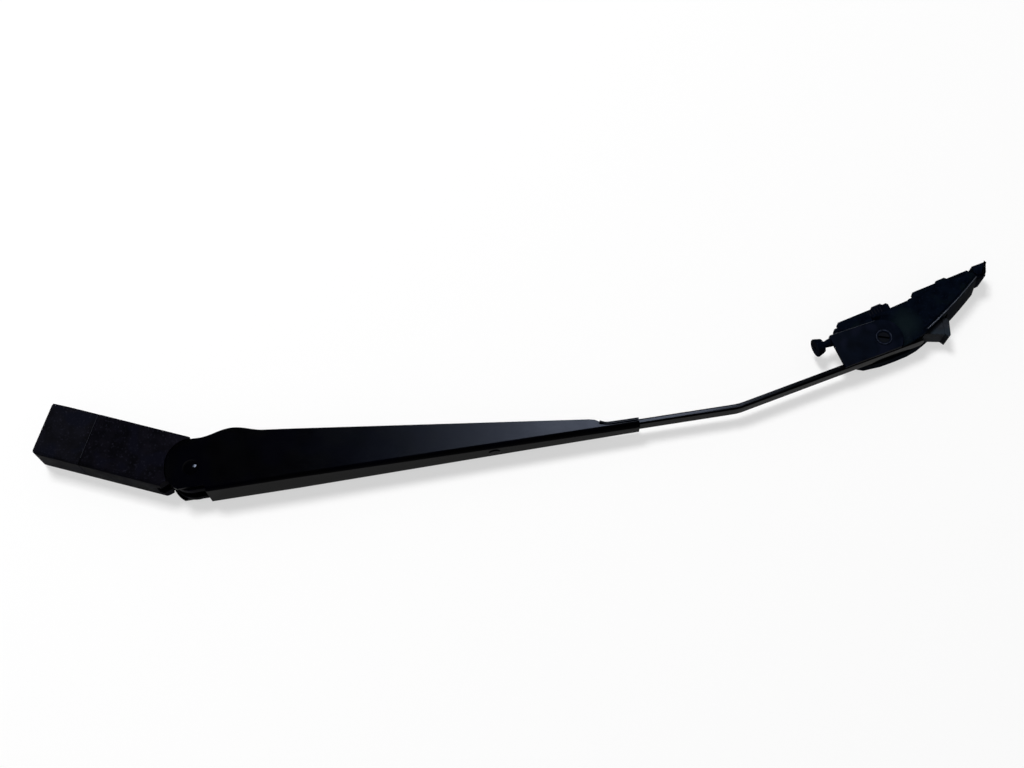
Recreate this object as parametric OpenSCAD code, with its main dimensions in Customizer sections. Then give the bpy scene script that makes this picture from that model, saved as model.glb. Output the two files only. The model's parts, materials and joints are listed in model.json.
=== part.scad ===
// Windscreen wiper arm with its side-pin blade connector, in millimetres.
// Frame: the origin is the spindle axis at the head's glass-side face, +Z points away from the
// glass along the spindle, and +X points along the head towards the blade end. The arm is drawn
// off the glass, with the spring holding the channel down on its stop.

/* [Head] */
// Width of the cast head
head_w = 18.6; // [17:0.2:19]
// Height of the head, from the glass side to the outer face
head_h = 27.5; // [26:0.5:30]
// Spindle axis to the rear end of the nut cap
head_back = 14.7; // [13:0.1:18]
// Spindle axis to the seam between nut cap and head
seam_x = 11; // [10:0.5:13]
// Spindle axis to the head's shoulder beside the hinge
shoulder_x = 53; // [51:0.5:54]
// Wall of the cast head
head_wall = 2.5; // [2:0.1:3]
// Radius of the spindle bore
spindle_r = 5; // [4:0.1:5.5]
// Depth of the spindle bore
spindle_len = 14; // [12:0.5:16]
// Wall of the nut cap
cap_wall = 1.6; // [1.2:0.1:1.8]
// Rounding of the head's outer edges
head_edge_r = 2; // [1:0.1:2.5]
// Rounding of the cap's rear outer edge
cap_round = 3; // [2:0.5:3.5]

/* [Hinge] */
// Spindle axis to the hinge pin, along X
hinge_x = 65; // [64.5:0.5:68]
// Glass-side face to the hinge pin, along Z
hinge_z = 15; // [14.5:0.25:16]
// Angle by which the channel drops towards the glass on its stop
drop_angle = 24; // [20:0.5:26]
// Radius of the head's hinge barrel
barrel_r = 11.4; // [11:0.1:11.5]
// Thickness of the flanges on the hinge bushes
bush_flange = 0.7; // [0.5:0.05:0.9]
// Width of the slot between the cheeks
slot_w = 7; // [6:0.2:7.4]
// Radius of the hinge pin
pin_r = 2.5; // [2.2:0.1:2.7]
// Radius of the hinge pin's domed heads
pin_head_r = 4.1; // [3.8:0.1:4.6]
// Height of the hinge pin's domed heads
pin_head_h = 1; // [0.8:0.1:1.4]
// Wall of the hinge bushes
bush_wall = 1.2; // [1:0.1:1.5]

/* [Channel] */
// Thickness of the pressed sheet
sheet = 1.5; // [1.2:0.1:1.6]
// Width of the channel at the ears
channel_w = 19; // [18.8:0.1:20]
// Width of the channel at the rod end
ferrule_w = 11; // [11:0.1:12]
// Hinge pin to the channel's outer face
outer_z = 13.2; // [13:0.1:14]
// Outer radius of the channel's bends at the ears
bend_ear = 2.2; // [2:0.1:2.6]
// Outer radius of the channel's bends at the rod end
bend_end = 3; // [2.6:0.1:3.2]
// Inner radius of the channel's bends
inner_r = 0.8; // [0.4:0.1:0.9]
// Radius of the ears round the hinge pin
ear_r = 12.6; // [12.4:0.1:13]
// Hinge pin to the channel's rod end
channel_len = 223; // [218:1:240]
// Length of the parallel-sided ears
ear_len = 50; // [45:1:60]
// Length of the close-fitting end round the rod
ferrule_len = 17; // [15:1:20]
// Depth of the flange edge below the hinge pin, at the ears
ear_depth = 15; // [14.6:0.1:15.4]
// Extra depth of the bulge beside the ears
bulge_h = 3.3; // [2:0.1:4]

/* [Rod] */
// Width of the flat rod
rod_w = 7.96; // [7:0.02:7.98]
// Thickness of the flat rod
rod_t = 3; // [2.6:0.1:3.2]
// Hinge pin to the bend in the rod
rod_bend_x = 275; // [265:1:285]
// Angle of the bend in the rod
rod_bend = 12; // [8:0.5:14]
// Length of the rod beyond the bend
rod_end = 105.7; // [105:0.1:106]
// Hinge pin to the rivet through channel and rod
rivet_x = 149; // [146:1:155]
// Radius of the rivet
rivet_r = 2; // [1.6:0.1:2.4]

/* [Spring] */
// Radius of the spring wire
wire_r = 1; // [0.8:0.05:1]
// Mean radius of the spring's coils
coil_r = 4.3; // [3.8:0.1:4.4]
// Turns in the spring
coil_turns = 27; // [20:1:28]
// Gap between turns
coil_gap = 0.42; // [0.4:0.02:0.44]
// Radius of the cross pin that the spring's link hooks on
hook_pin_r = 1.75; // [1.5:0.05:2]
// Thickness of the spring's link
link_t = 2.4; // [2:0.1:2.6]

/* [Connector] */
// Bend in the rod to the blade pivot, along the rod
pivot_s = 85; // [84.8:0.1:85.4]
// Outer face of the rod to the blade pivot
pivot_h = 8.2; // [8:0.1:8.6]
// Radius of the blade pivot pin
pivot_r = 3; // [2.6:0.1:3.2]
// Radius of the side plate's round end
plate_r = 10.2; // [9.6:0.1:10.6]
// Pivot to the side plate's straight end
plate_len = 25.8; // [24:0.1:27]
// Thickness of the side plate that holds the pivot
plate_t = 2; // [1.6:0.1:2.2]
// Length of the connector body, from its rear end to its nose
body_len = 81.5; // [80:0.5:86]
// Width of the connector body
body_w = 15.5; // [15:0.1:16]
// Part of the body's width that lies on the rod's near side
body_near = 6.2; // [6:0.1:6.6]
// Bore of the washer hose nipple
nipple_bore = 0.8; // [0.6:0.1:1]

/* [Hidden] */
$fn = 64;

gap = 0.3;               // clearance between parts that move or snap together
run = 0.05;              // radial running clearance of a pin
side_run = 0.2;          // sideways clearance of the bushes' flanges
ear_gap = 0.5;           // gap between the ears and their recess in the head
black_cast = [0.10, 0.10, 0.12];
black_paint = [0.06, 0.07, 0.09];
black_plastic = [0.09, 0.09, 0.10];
steel = [0.45, 0.45, 0.47];

ear_in = channel_w / 2 - sheet;           // inner face of the ears
web_z = outer_z - sheet;                  // inner face of the channel's web
cheek_y = ear_in - bush_flange - side_run; // outer face of the head's cheeks
cap_in = cap_wall + gap;                  // cap's outer face to what it fits over
heel_r = ear_depth - 1.8;                 // the ears' rounded corner on the glass side
heel = [heel_r - ear_r + 0.2, heel_r - ear_depth];
hook_d = 7.74;                            // hinge pin to hook pin
hook_x = -6.5;                            // hook pin, in the channel's frame at rest
hook_z = -sqrt(pow(hook_d, 2) - pow(hook_x, 2));

// Points of an arc round c, from angle a0 to a1
function arc(c, r, a0, a1, n) = [for (i = [0 : n]) let (a = a0 + (a1 - a0) * i / n) c + r * [cos(a), sin(a)]];
// A rectangle w by h with corners rounded by r
function soft_rect(w, h, r, n = 5) = concat(
    arc([w / 2 - r, h / 2 - r], r, 0, 90, n), arc([r - w / 2, h / 2 - r], r, 90, 180, n),
    arc([r - w / 2, r - h / 2], r, 180, 270, n), arc([w / 2 - r, r - h / 2], r, 270, 360, n));

// Channel frame: origin at the hinge pin, x along the channel's outer face, z outwards
module in_channel() { translate([hinge_x, 0, hinge_z]) rotate([0, drop_angle, 0]) children(); }
// Rod frame: origin at the bend in the rod's outer face, x along the rod's end, z outwards
module in_rod() { in_channel() translate([rod_bend_x, 0, web_z]) rotate([0, rod_bend, 0]) children(); }
// Extrudes a side view, drawn in x and z, from y0 to y1
module side(y0, y1) { translate([0, y1, 0]) rotate([90, 0, 0]) linear_extrude(y1 - y0) children(); }
// A cylinder along Y through (x, z), from y0 to y1
module across(x, z, r, y0, y1) { translate([x, y1, z]) rotate([90, 0, 0]) cylinder(r = r, h = y1 - y0); }

function unit(v) = v / norm(v);
function tangents(p) = let (n = len(p)) [for (i = [0 : n - 1]) unit(p[min(i + 1, n - 1)] - p[max(i - 1, 0)])];
// Copies of a section along p, turned as little as possible from one to the next
function rings(p, section) = let (t = tangents(p), n = len(p))
    [for (i = 0, u = unit(cross(t[0], [0, 1, 0])); i < n; i = i + 1, u = i < n ? unit(u - (u * t[i]) * t[i]) : u)
        let (v = cross(t[i], u)) [for (q = section) p[i] + q[0] * u + q[1] * v]];
// One solid through a row of rings with equal numbers of points
module loft(rows) {
    n = len(rows);
    m = len(rows[0]);
    polyhedron(points = [for (row = rows, p = row) p], faces = concat(
        [[for (k = [0 : m - 1]) k]],
        [[for (k = [m - 1 : -1 : 0]) (n - 1) * m + k]],
        [for (i = [0 : n - 2], k = [0 : m - 1]) let (a = i * m + k, b = i * m + (k + 1) % m) [a, a + m, b + m, b]]),
        convexity = 10);
}

// Head: a casting that grips the spindle at one end and forks into two cheeks at the hinge

module head_side() {
    polygon([[seam_x, 0], [seam_x, head_h], [shoulder_x, head_h], [hinge_x - barrel_r * 0.7, hinge_z + barrel_r * 0.7],
        [hinge_x, hinge_z], [hinge_x - 6, 0]]);
}

nose_z = web_z - gap - 0.15;
module cheek_side() {
    translate([hinge_x, hinge_z]) circle(barrel_r);
    polygon([[shoulder_x - 4, 0.6], [shoulder_x - 4, head_h - 3], [hinge_x - barrel_r * 0.7, hinge_z + barrel_r * 0.7],
        [hinge_x, hinge_z], [hinge_x - 5, 0.6]]);
    // the nose that the channel's web rests on when the arm is down
    translate([hinge_x, hinge_z]) rotate(-drop_angle)
        polygon([[0, 0], [0, nose_z], [14, nose_z], [15.5, nose_z - 3], [9, 0]]);
}

module head_section(inset, top_r) {
    w = head_w / 2 - inset;
    h = head_h - inset;
    polygon(concat([[w, 0]], arc([w - top_r, h - top_r], top_r, 0, 90, 6),
        arc([top_r - w, h - top_r], top_r, 90, 180, 6), [[-w, 0]]));
}

module head() color(black_cast) {
    pocket = 14;
    pocket_x = seam_x + 4;
    deep = head_h - head_wall + 1;
    wide = head_w - 2 * head_wall;
    difference() {
        union() {
            intersection() {
                side(-head_w / 2, head_w / 2) head_side();
                translate([seam_x, 0, 0]) rotate([90, 0, 90]) linear_extrude(60) head_section(0, head_edge_r);
            }
            side(-cheek_y, cheek_y) cheek_side();
            // collar that the cap fits over, and the floor out to the spindle boss
            translate([seam_x - 3.6, 0, 0]) rotate([90, 0, 90]) linear_extrude(4.1) head_section(cap_in, head_edge_r - 0.5);
            translate([0, -head_w / 2 + cap_in, 0]) cube([seam_x, head_w - 2 * cap_in, spindle_len]);
            cylinder(r = head_w / 2 - cap_in - gap, h = spindle_len);
        }
        // pockets on the glass side, either side of a cross rib
        translate([pocket_x, -wide / 2, -1]) cube([pocket, wide, deep]);
        translate([pocket_x + pocket + head_wall, -wide / 2, -1])
            cube([shoulder_x - 7.5 - pocket_x - pocket - head_wall, wide, deep]);
        translate([0, 0, -1]) cylinder(r = spindle_r, h = spindle_len + 2);
        // recesses for the ears of the channel
        for (s = [-1, 1]) side(min(s * cheek_y, s * head_w), max(s * cheek_y, s * head_w))
            translate([hinge_x, hinge_z]) rotate(-drop_angle) {
                circle(ear_r + ear_gap, $fn = 96);
                translate(heel) circle(heel_r + ear_gap, $fn = 96);
                translate([heel[0] + 1, -ear_depth - 4]) square([30, ear_depth + 4]);
            }
        // slot for the spring's link, open to both sides
        translate([shoulder_x - 2.5, -slot_w / 2, -1]) cube([40, slot_w, head_h + 10]);
        // seats of the bushes and of the hook pin
        across(hinge_x, hinge_z, pin_r + run + bush_wall, -20, 20);
        translate([hinge_x, 0, hinge_z]) rotate([0, drop_angle, 0]) across(hook_x, hook_z, hook_pin_r, -20, 20);
    }
}

// Hood over the spindle nut; it pulls off outwards
module nut_cap() color(black_plastic) {
    len = head_back + seam_x;
    difference() {
        intersection() {
            translate([-head_back, 0, 0]) rotate([90, 0, 90]) linear_extrude(len - 0.2) head_section(0, head_edge_r);
            // side view with its rear outer edge rounded
            side(-head_w, head_w) polygon(concat([[-head_back, 0]],
                arc([cap_round - head_back, head_h - cap_round], cap_round, 180, 90, 8), [[seam_x, head_h], [seam_x, 0]]));
            // plan with softened rear corners
            linear_extrude(head_h) polygon(concat([[seam_x, -head_w / 2], [seam_x, head_w / 2]],
                arc([3 - head_back, head_w / 2 - 3], 3, 90, 180, 8), arc([3 - head_back, 3 - head_w / 2], 3, 180, 270, 8)));
        }
        translate([cap_wall - head_back, 0, -cap_wall]) rotate([90, 0, 90]) linear_extrude(len)
            polygon(concat([[head_w / 2 - cap_wall, 0]],
                arc([head_w / 2 - cap_wall - 1, head_h - 1], 1, 0, 90, 4),
                arc([cap_wall + 1 - head_w / 2, head_h - 1], 1, 90, 180, 4), [[cap_wall - head_w / 2, 0]]));
    }
}

// Flanged plastic bush in one cheek; s is 1 on the near side and -1 on the far side
module bush(s) color("dimgray") {
    translate([hinge_x, 0, hinge_z]) difference() {
        union() {
            across(0, 0, pin_r + run + bush_wall, min(s * slot_w / 2, s * cheek_y), max(s * slot_w / 2, s * cheek_y));
            across(0, 0, pin_r + run + bush_wall + 1.5, min(s * cheek_y, s * (cheek_y + bush_flange)),
                max(s * cheek_y, s * (cheek_y + bush_flange)));
        }
        across(0, 0, pin_r + run, -20, 20);
    }
}
module bush_near() bush(1);
module bush_far() bush(-1);

// Cross pin in the cheeks that the spring pulls on
module hook_pin() color(steel)
    in_channel() across(hook_x, hook_z, hook_pin_r, -cheek_y, cheek_y);

// Hinge rivet with a low dome at each ear
module hinge_pin() color(black_paint) {
    dome = (pow(pin_head_r, 2) + pow(pin_head_h, 2)) / (2 * pin_head_h);
    in_channel() {
        across(0, 0, pin_r, -channel_w / 2, channel_w / 2);
        for (s = [-1, 1]) translate([0, s * channel_w / 2, 0]) rotate([-90 * s, 0, 0])
            rotate_extrude() intersection() {
                translate([0, pin_head_h - dome]) circle(dome, $fn = 160);
                square([pin_head_r, pin_head_h]);
            }
    }
}

// Channel: one folded sheet whose flanges run from round ears, through a bulge, down to the rod

function bulge(x) = let (t = (x - 21.5) / 17) abs(t) >= 1 ? 0 : bulge_h * pow(cos(90 * t), 2);
rim_end = 5.6;                                        // flange edge where it steps in to the rod
step_x = channel_len - ferrule_len - 8;
function rim(x) = x < 37.5 ? -ear_depth + x * 0.03 - bulge(x)
    : -13.9 + (x - 37.5) * (rim_end + 13.9) / (step_x - 37.5);

ear_top = 10.2;                                       // flange's outer edge beside the ears
web_x = 6.2;                                          // rear end of the web
function channel_profile() = concat(
    [[web_x, outer_z], [web_x, ear_top]],
    arc([0, 0], ear_r, 126, 186, 12),
    arc(heel, heel_r, 186, 268, 14),
    [for (x = [2 : 2 : 38]) [x, rim(x)]],
    [[step_x, rim_end]],
    [[step_x + 3, rim_end + 0.7], [step_x + 5.4, rim_end + 2.2], [step_x + 8.2, web_z - rod_t - 0.4],
        [channel_len, web_z - rod_t - 0.1], [channel_len, outer_z]]);

function half_width(x) = let (e = channel_len - ferrule_len, t = (x - ear_len) / (e - ear_len))
    (channel_w + (ferrule_w - channel_w) * max(0, min(1, t))) / 2;
function bend(x) = bend_ear + (bend_end - bend_ear) * max(0, min(1, (x - ear_len) / (step_x - ear_len)));
function channel_section(x, inset, z, r) = let (w = half_width(x) - inset)
    [for (p = concat([[w, z - 60]], arc([w - r, z - r], r, 0, 90, 7), arc([r - w, z - r], r, 90, 180, 7), [[-w, z - 60]]))
        [x, p[0], p[1]]];
module channel_form(inset, z, r = 0)
    loft([for (x = [-30, ear_len, channel_len - ferrule_len, channel_len + 5])
        channel_section(x, inset, z, r > 0 ? r : bend(x))]);

module channel() color(black_paint) in_channel() difference() {
    intersection() {
        channel_form(0, outer_z);
        side(-20, 20) polygon(channel_profile());
    }
    channel_form(sheet, web_z, inner_r);
    across(0, 0, pin_r, -20, 20);
    translate([rivet_x, 0, 0]) cylinder(r = rivet_r, h = 40);
}

// Spring link: a flat C that swings on the hook pin and clears the hinge pin as the arm lifts
link_angle = 4.1;
hook_r = pin_r + 5.2;                                 // inside of the hook, clear of the hinge pin as it swings
link_len = 40;

module spring_link() color(steel) in_channel() translate([hook_x, 0, hook_z]) rotate([0, -link_angle, 0])
    side(-link_t / 2, link_t / 2) difference() {
        union() {
            circle(3.5);
            intersection() {
                translate([4.6, -1.2]) difference() { circle(hook_r + 2.6); circle(hook_r); }
                translate([-7, -13]) square([25, 13.6]);
            }
            translate([13.6, -1.8]) square([link_len - 13.6, 3.6]);
            translate([link_len, 0]) circle(3.2);
        }
        circle(hook_pin_r + run);
        translate([link_len, 0]) circle(eye_r);
    }

// Spring: a tension coil between the link and the rod's inner end, one wire from hook to hook
loop_r = 3;                                           // mean radius of the end loops
eye_r = wire_r + 0.7;                                 // eyes that the loops pass through
coil_x = 2 * loop_r + 2.2;                            // link's eye to the first coil
pitch = 2 * wire_r + coil_gap;
coil_len = coil_turns * pitch;
spring_len = coil_x + coil_len + loop_r + 2.6;        // link's eye to the centre of the far loop

function spring_path() = concat(
    [for (a = [320 : -24 : 80]) [loop_r + loop_r * cos(a), loop_r * sin(a), 0]],
    [[coil_x - 2.2, coil_r * 0.88, 0.9]],
    [for (i = [1 : coil_turns * 12 + 1]) [coil_x + pitch * (i - 1) / 12, coil_r * cos(30 * i), coil_r * sin(30 * i)]],
    [[coil_x + coil_len + 1.4, 0.9, coil_r * 0.92]],
    [for (a = [108 : -24 : -132]) [spring_len + loop_r * cos(a), 0, loop_r * sin(a)]]);

module spring() color(steel) in_channel() translate([hook_x, 0, hook_z]) rotate([0, -link_angle, 0])
    translate([link_len, 0, 0]) loft(rings(spring_path(), arc([0, 0], wire_r, 0, 300, 5)));

// Rod: a flat bar, cranked at its inner end for the spring, bent towards the glass near its outer end
anchor_x = hook_x + (link_len + spring_len) * cos(link_angle);
anchor_z = hook_z + (link_len + spring_len) * sin(link_angle);

function soft_path(p, d, n = 4) = concat([p[0]],
    [for (i = [1 : len(p) - 2], j = [0 : n]) let (t = j / n, u = p[i] + d * unit(p[i - 1] - p[i]),
        v = p[i] + d * unit(p[i + 1] - p[i])) pow(1 - t, 2) * u + 2 * t * (1 - t) * p[i] + pow(t, 2) * v],
    [p[len(p) - 1]]);

module rod() color(black_paint) in_channel() {
    mid_z = web_z - rod_t / 2 - 0.01;
    crank = rivet_x - 15;
    bend = [rod_bend_x - rod_t / 2 * tan(rod_bend / 2), 0, mid_z];
    difference() {
        loft(rings(soft_path([[anchor_x - 0.8, 0, anchor_z], [anchor_x + 10, 0, anchor_z], [crank, 0, mid_z], bend,
            bend + rod_end * [cos(rod_bend), 0, -sin(rod_bend)]], 3), soft_rect(rod_t - 0.02, rod_w, 0.9, 3)));
        translate([rivet_x, 0, 0]) cylinder(r = rivet_r, h = 40);
        // eye for the spring's hook
        translate([anchor_x + loop_r, 0, anchor_z - 5]) cylinder(r = eye_r, h = 10);
        // round tip
        translate([rod_bend_x, 0, web_z]) rotate([0, rod_bend, 0]) translate([rod_end - rod_w / 2, 0, -10])
            linear_extrude(20) difference() {
                translate([0, -rod_w]) square([rod_w, 2 * rod_w]);
                circle(rod_w / 2);
            }
    }
}

// Rivet through web and rod, with a flat head on each side
module rod_rivet() color(black_paint) in_channel() translate([rivet_x, 0, 0]) {
    translate([0, 0, web_z - rod_t]) cylinder(r = rivet_r, h = rod_t + sheet);
    translate([0, 0, outer_z]) cylinder(r1 = rivet_r + 1.2, r2 = rivet_r + 0.7, h = 0.5);
    translate([0, 0, web_z - rod_t - 1]) cylinder(r = rivet_r + 1.2, h = 1);
}

// Side plate: stands on the rod's near edge and carries the blade pivot
module side_plate() color(black_paint) in_rod() difference() {
    union() {
        side(rod_w / 2, rod_w / 2 + plate_t) intersection() {
            union() {
                translate([pivot_s, -pivot_h]) circle(plate_r, $fn = 96);
                translate([pivot_s, -pivot_h]) polygon([[-plate_len, -plate_r - 0.8], [-plate_len + 0.6, -plate_r - 1],
                    [0, -plate_r], [0, plate_r], [-plate_len, plate_r]]);
            }
            translate([pivot_s - plate_len - 5, -30]) square([60, 29.6]);
        }
        // raised ring round the pin
        across(pivot_s, -pivot_h, ring_r, rod_w / 2, rod_w / 2 + plate_t + 0.4);
    }
    across(pivot_s, -pivot_h, pivot_r, -20, 20);
}

// Blade pivot: a pin with a slotted end, pressed into the side plate
ring_r = 4.4;
module pivot_pin() color(steel) in_rod() difference() {
    across(pivot_s, -pivot_h, pivot_r, far_y + 0.1, rod_w / 2 + plate_t);
    translate([pivot_s, rod_w / 2 + plate_t, -pivot_h]) rotate([0, -30, 0]) translate([-4, -1.2, -0.5]) cube([8, 2, 1]);
}

// Push-on washer that keeps the body on the pin
washer_r = 4.6;
module pivot_washer() color(steel) in_rod() difference() {
    across(pivot_s, -pivot_h, washer_r, far_y + 0.3, far_y + 1.2);
    across(pivot_s, -pivot_h, pivot_r, -20, 20);
}

// Connector body, drawn in the rod frame. Its chord faces the blade and its belly faces outwards.
rear_s = pivot_s - 19;
nose_s = rear_s + body_len;
lobe_s = pivot_s + 19;                    // end of the level back, just past the rod's tip
rear_wall = 5;                            // thickness of the body's rear end
far_y = body_near - body_w;
roof_h = -15;                             // top of the hollow over the blade
roof_n = -20.2;                           // the same at the nose
seat_y = far_y + 1.8;                     // far side of that hollow
seat_w = body_w - 6.2;                    // width of that hollow
start = rear_s + rear_wall;
end = nose_s - 8;
rail_t = 1.4;                             // thickness of the seat's rails
nipple_y = 1;
nipple_h = -17.4;
neck_r = 2.3;                             // foot of the nipple, where it enters the body
chord_r = -20.2;                          // chord height at the rear end
chord_n = -25;                            // chord height at the nose
claw_r = -25.8;                           // the claws' lower edge at the rear end
claw_n = -28.5;                           // the same at the nose
lift = 3.4;                               // how much farther out the belly lies on the far side

function fore(t) = lobe_s + t * (nose_s - lobe_s);
function belly_h(t) = -2.2 - 15 * t - 4.4 * t * t;
function chord_h(s) = chord_r + (chord_n - chord_r) * (s - rear_s) / body_len;
function claw_h(s) = claw_r + (claw_n - claw_r) * (s - rear_s) / body_len;

belly = concat([[rear_s + 4, -2.8], [rear_s + 7, -1.1], [rear_s + 16, -0.2], [rear_s + 24, -0.4],
    [rear_s + 32, -1]], [for (t = [0 : 0.1 : 1]) [fore(t), belly_h(t)]]);
module body_side(up) polygon(concat([[rear_s, chord_r], [rear_s, chord_r + 8]],
    [for (p = belly) p + [0, up * min(1, 0.3 + (p[0] - rear_s) / (body_len + 8))]], [[nose_s, chord_n]]));

// Ring drawn from angle a0 to a1, for grooves on the near flank
module curve(r, w, a0, a1) polygon(concat(arc([0, 0], r + w / 2, a0, a1, 16), arc([0, 0], r - w / 2, a1, a0, 16)));
// Groove that parts the body's flank from the hooked nose
module nose_groove() side(body_near - 1.4, body_near + 1) translate([nose_s + 2.5, chord_n - 0.9]) curve(4, 0.7, 185, 45);

module connector_body() color(black_plastic) in_rod() difference() {
    hull() {
        side(body_near - 0.1, body_near) body_side(0);
        side(far_y, far_y + 0.1) body_side(lift);
    }
    // trough for the rod, with room for the blade to tip
    side(-rod_w / 2 - gap, rod_w / 2 + gap) {
        polygon([[rear_s - 5, 10], [rear_s - 5, -8.6], [pivot_s - 3, -3.9], [pivot_s + 3, -3.9], [lobe_s - 1, -7.4],
            [lobe_s - 1, 10]]);
        translate([pivot_s, -pivot_h]) intersection() {
            circle(22.9, $fn = 120);
            translate([0, 0.8]) square([30, 20]);
        }
    }
    // recess for the side plate
    side(rod_w / 2 - gap, 10) {
        translate([pivot_s, -pivot_h]) circle(plate_r + 0.5, $fn = 96);
        translate([rear_s - 5, -40]) square([pivot_s - rear_s + 5, 50]);
    }
    // cove that runs out from that recess to the flank
    hull() {
        across(pivot_s, -pivot_h, plate_r + 0.5, body_near - 1.6, body_near - 1.5);
        across(pivot_s + 2.4, -pivot_h + 0.7, plate_r + 2.4, body_near, body_near + 0.1);
    }
    // groove along the belly, behind a narrow rim
    side(body_near - 0.5, body_near + 1) intersection() {
        difference() {
            offset(delta = -1.1) body_side(0);
            offset(delta = -1.8) body_side(0);
        }
        polygon([[lobe_s + 2, -12], [lobe_s + 2, 5], [nose_s, 5], [nose_s - 1, -22]]);
    }
    nose_groove();
    // hollow under the chord for the blade
    side(seat_y, seat_y + seat_w)
        polygon([[start, -40], [start, roof_h], [fore(0.4), roof_h], [end, roof_n], [end, -40]]);
    // pivot bore and washer pocket
    across(pivot_s, -pivot_h, pivot_r + run, -20, 20);
    across(pivot_s, -pivot_h, washer_r + 0.4, far_y - 2, far_y + 1.3);
    // pocket for the release lever
    side(far_y + 1.2, body_near - 3.2) translate([lever_s, 0])
        polygon([[-12.5, 10], [-12.5, -8.4], [3.8, -12.4], [5.4, -3.4], [5.4, 10]]);
    across(lever_s, lever_h, lever_pin_r, far_y + 1, 4);
    // seat of the nipple
    in_nipple() cylinder(r = neck_r, h = 18.8);
}

// Blade seat: side rails with claws that hold the blade's spine, snapped into the body
module claw(s0, s1, bump0, bump1) {
    polygon([[s0, chord_h(s0) - gap], [s0, claw_h(s0) + 1.4], [s0 + 1.4, claw_h(s0)], [bump0, claw_h(bump0)],
        [bump0 + 1, claw_h(bump0) - 1], [bump1, claw_h(bump1) - 1], [bump1 + 1, claw_h(bump1)],
        [s1 - 0.8, claw_h(s1)], [s1, claw_h(s1) + 1], [s1, chord_h(s1) - gap]]);
}
// The roof of the seat, snug is its distance from the hollow's own roof
module under_roof(snug, low) polygon([[start + 0.1, roof_h - snug], [fore(0.4), roof_h - snug], [end - 0.1, roof_n - snug],
    [end - 0.1, low(end)], [fore(0.4), low(fore(0.4))], [start + 0.1, low(start)]]);
module blade_seat() color(black_plastic) in_rod() {
    far = seat_y + 0.05;
    near = seat_y + seat_w - 0.05;
    front = fore(0.18);
    for (y = [far, near - rail_t]) side(y, y + rail_t) {
        claw(rear_s + 1.2, rear_s + 32, rear_s + 22, rear_s + 28);
        claw(front, nose_s - 0.6, front + 15, front + 21);
        under_roof(0.05, function (s) chord_h(s) + 0.8);
        for (s = [rear_s + 8, rear_s + 20, front + 2, front + 17]) translate([s, chord_h(s) - 1]) square([9, 2.4]);
    }
    // web that joins the rails, and the lips that grip the spine
    side(far, near) under_roof(0.05, function (s) s > fore(0.5) ? roof_n - 1.55 : roof_h - 1.55);
    for (s = [rear_s + 8, rear_s + 20], y = [far + rail_t - 0.2, near - rail_t - 0.8])
        translate([s, y, claw_h(s) + 0.3]) cube([8, 1, 1.4]);
    for (s = [front + 2, front + 17], y = [far + rail_t - 0.2, near - rail_t - 0.8])
        translate([s, y, claw_h(s) + 0.3]) cube([8, 1, 1.4]);
}

// Barbed nipple for the washer hose
module in_nipple() translate([rear_s, nipple_y, nipple_h]) rotate([0, 91, 0]) translate([0, 0, -14.8]) children();
module hose_nipple() color(black_plastic) in_rod() in_nipple() difference() {
    rotate_extrude() polygon([[0, 0], [4.7, 0], [4.85, 0.5], [3.7, 4.2], [1.8, 4.6], [1.8, 6.2], [neck_r, 8.6],
        [neck_r, 18.8], [0, 18.8]]);
    translate([0, 0, -1]) cylinder(r = nipple_bore, h = 30);
}

// Hooked nose piece that closes the front of the body
module tip_cap() color(black_plastic) in_rod() difference() {
    side(far_y + 1.5, body_near - 0.6) translate([nose_s, chord_n])
        polygon([[0, -3.2], [8.5, -3.2], [8.8, -2.4], [4.6, 4.2], [1.5, 4.4], [0, 3.8]]);
    nose_groove();
}

// Release lever behind the rod's end, with a raised thumb lip, on its own small pin
lever_s = fore(0.36);
lever_h = -9.2;
lever_pin_r = 1;
module release_lever() color(black_plastic) in_rod() difference() {
    translate([lever_s, 0, 0]) {
        side(far_y + 1.6, body_near - 4) polygon([[-12, -3.4], [-12, -5.6], [-3, -9.6], [0, -10.9], [1.8, -9.6],
            [2.4, -5.6], [-0.8, 1.4], [-2.4, 0.6]]);
        side(far_y + 1.6, body_near - 3.5) polygon([[0.2, -7.6], [2.2, -7.4], [3, -5.4], [-0.2, 2.2], [-1.4, 2.8], [-2.6, 0.4]]);
    }
    across(lever_s, lever_h, lever_pin_r + run, -20, 20);
}
module lever_pin() color(steel) in_rod() across(lever_s, lever_h, lever_pin_r, far_y + 1, 4);

head();
nut_cap();
bush_near();
bush_far();
hook_pin();
hinge_pin();
channel();
spring_link();
spring();
rod();
rod_rivet();
side_plate();
pivot_pin();
pivot_washer();
connector_body();
blade_seat();
hose_nipple();
tip_cap();
release_lever();
lever_pin();
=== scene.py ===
"""Windscreen wiper arm on a white table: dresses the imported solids, lights them and places the camera."""

from __future__ import annotations

import json
import logging
import math
from dataclasses import dataclass, field, replace
from enum import Enum
from typing import Callable, Sequence

import bmesh
import bpy
from mathutils import Matrix, Vector

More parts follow.
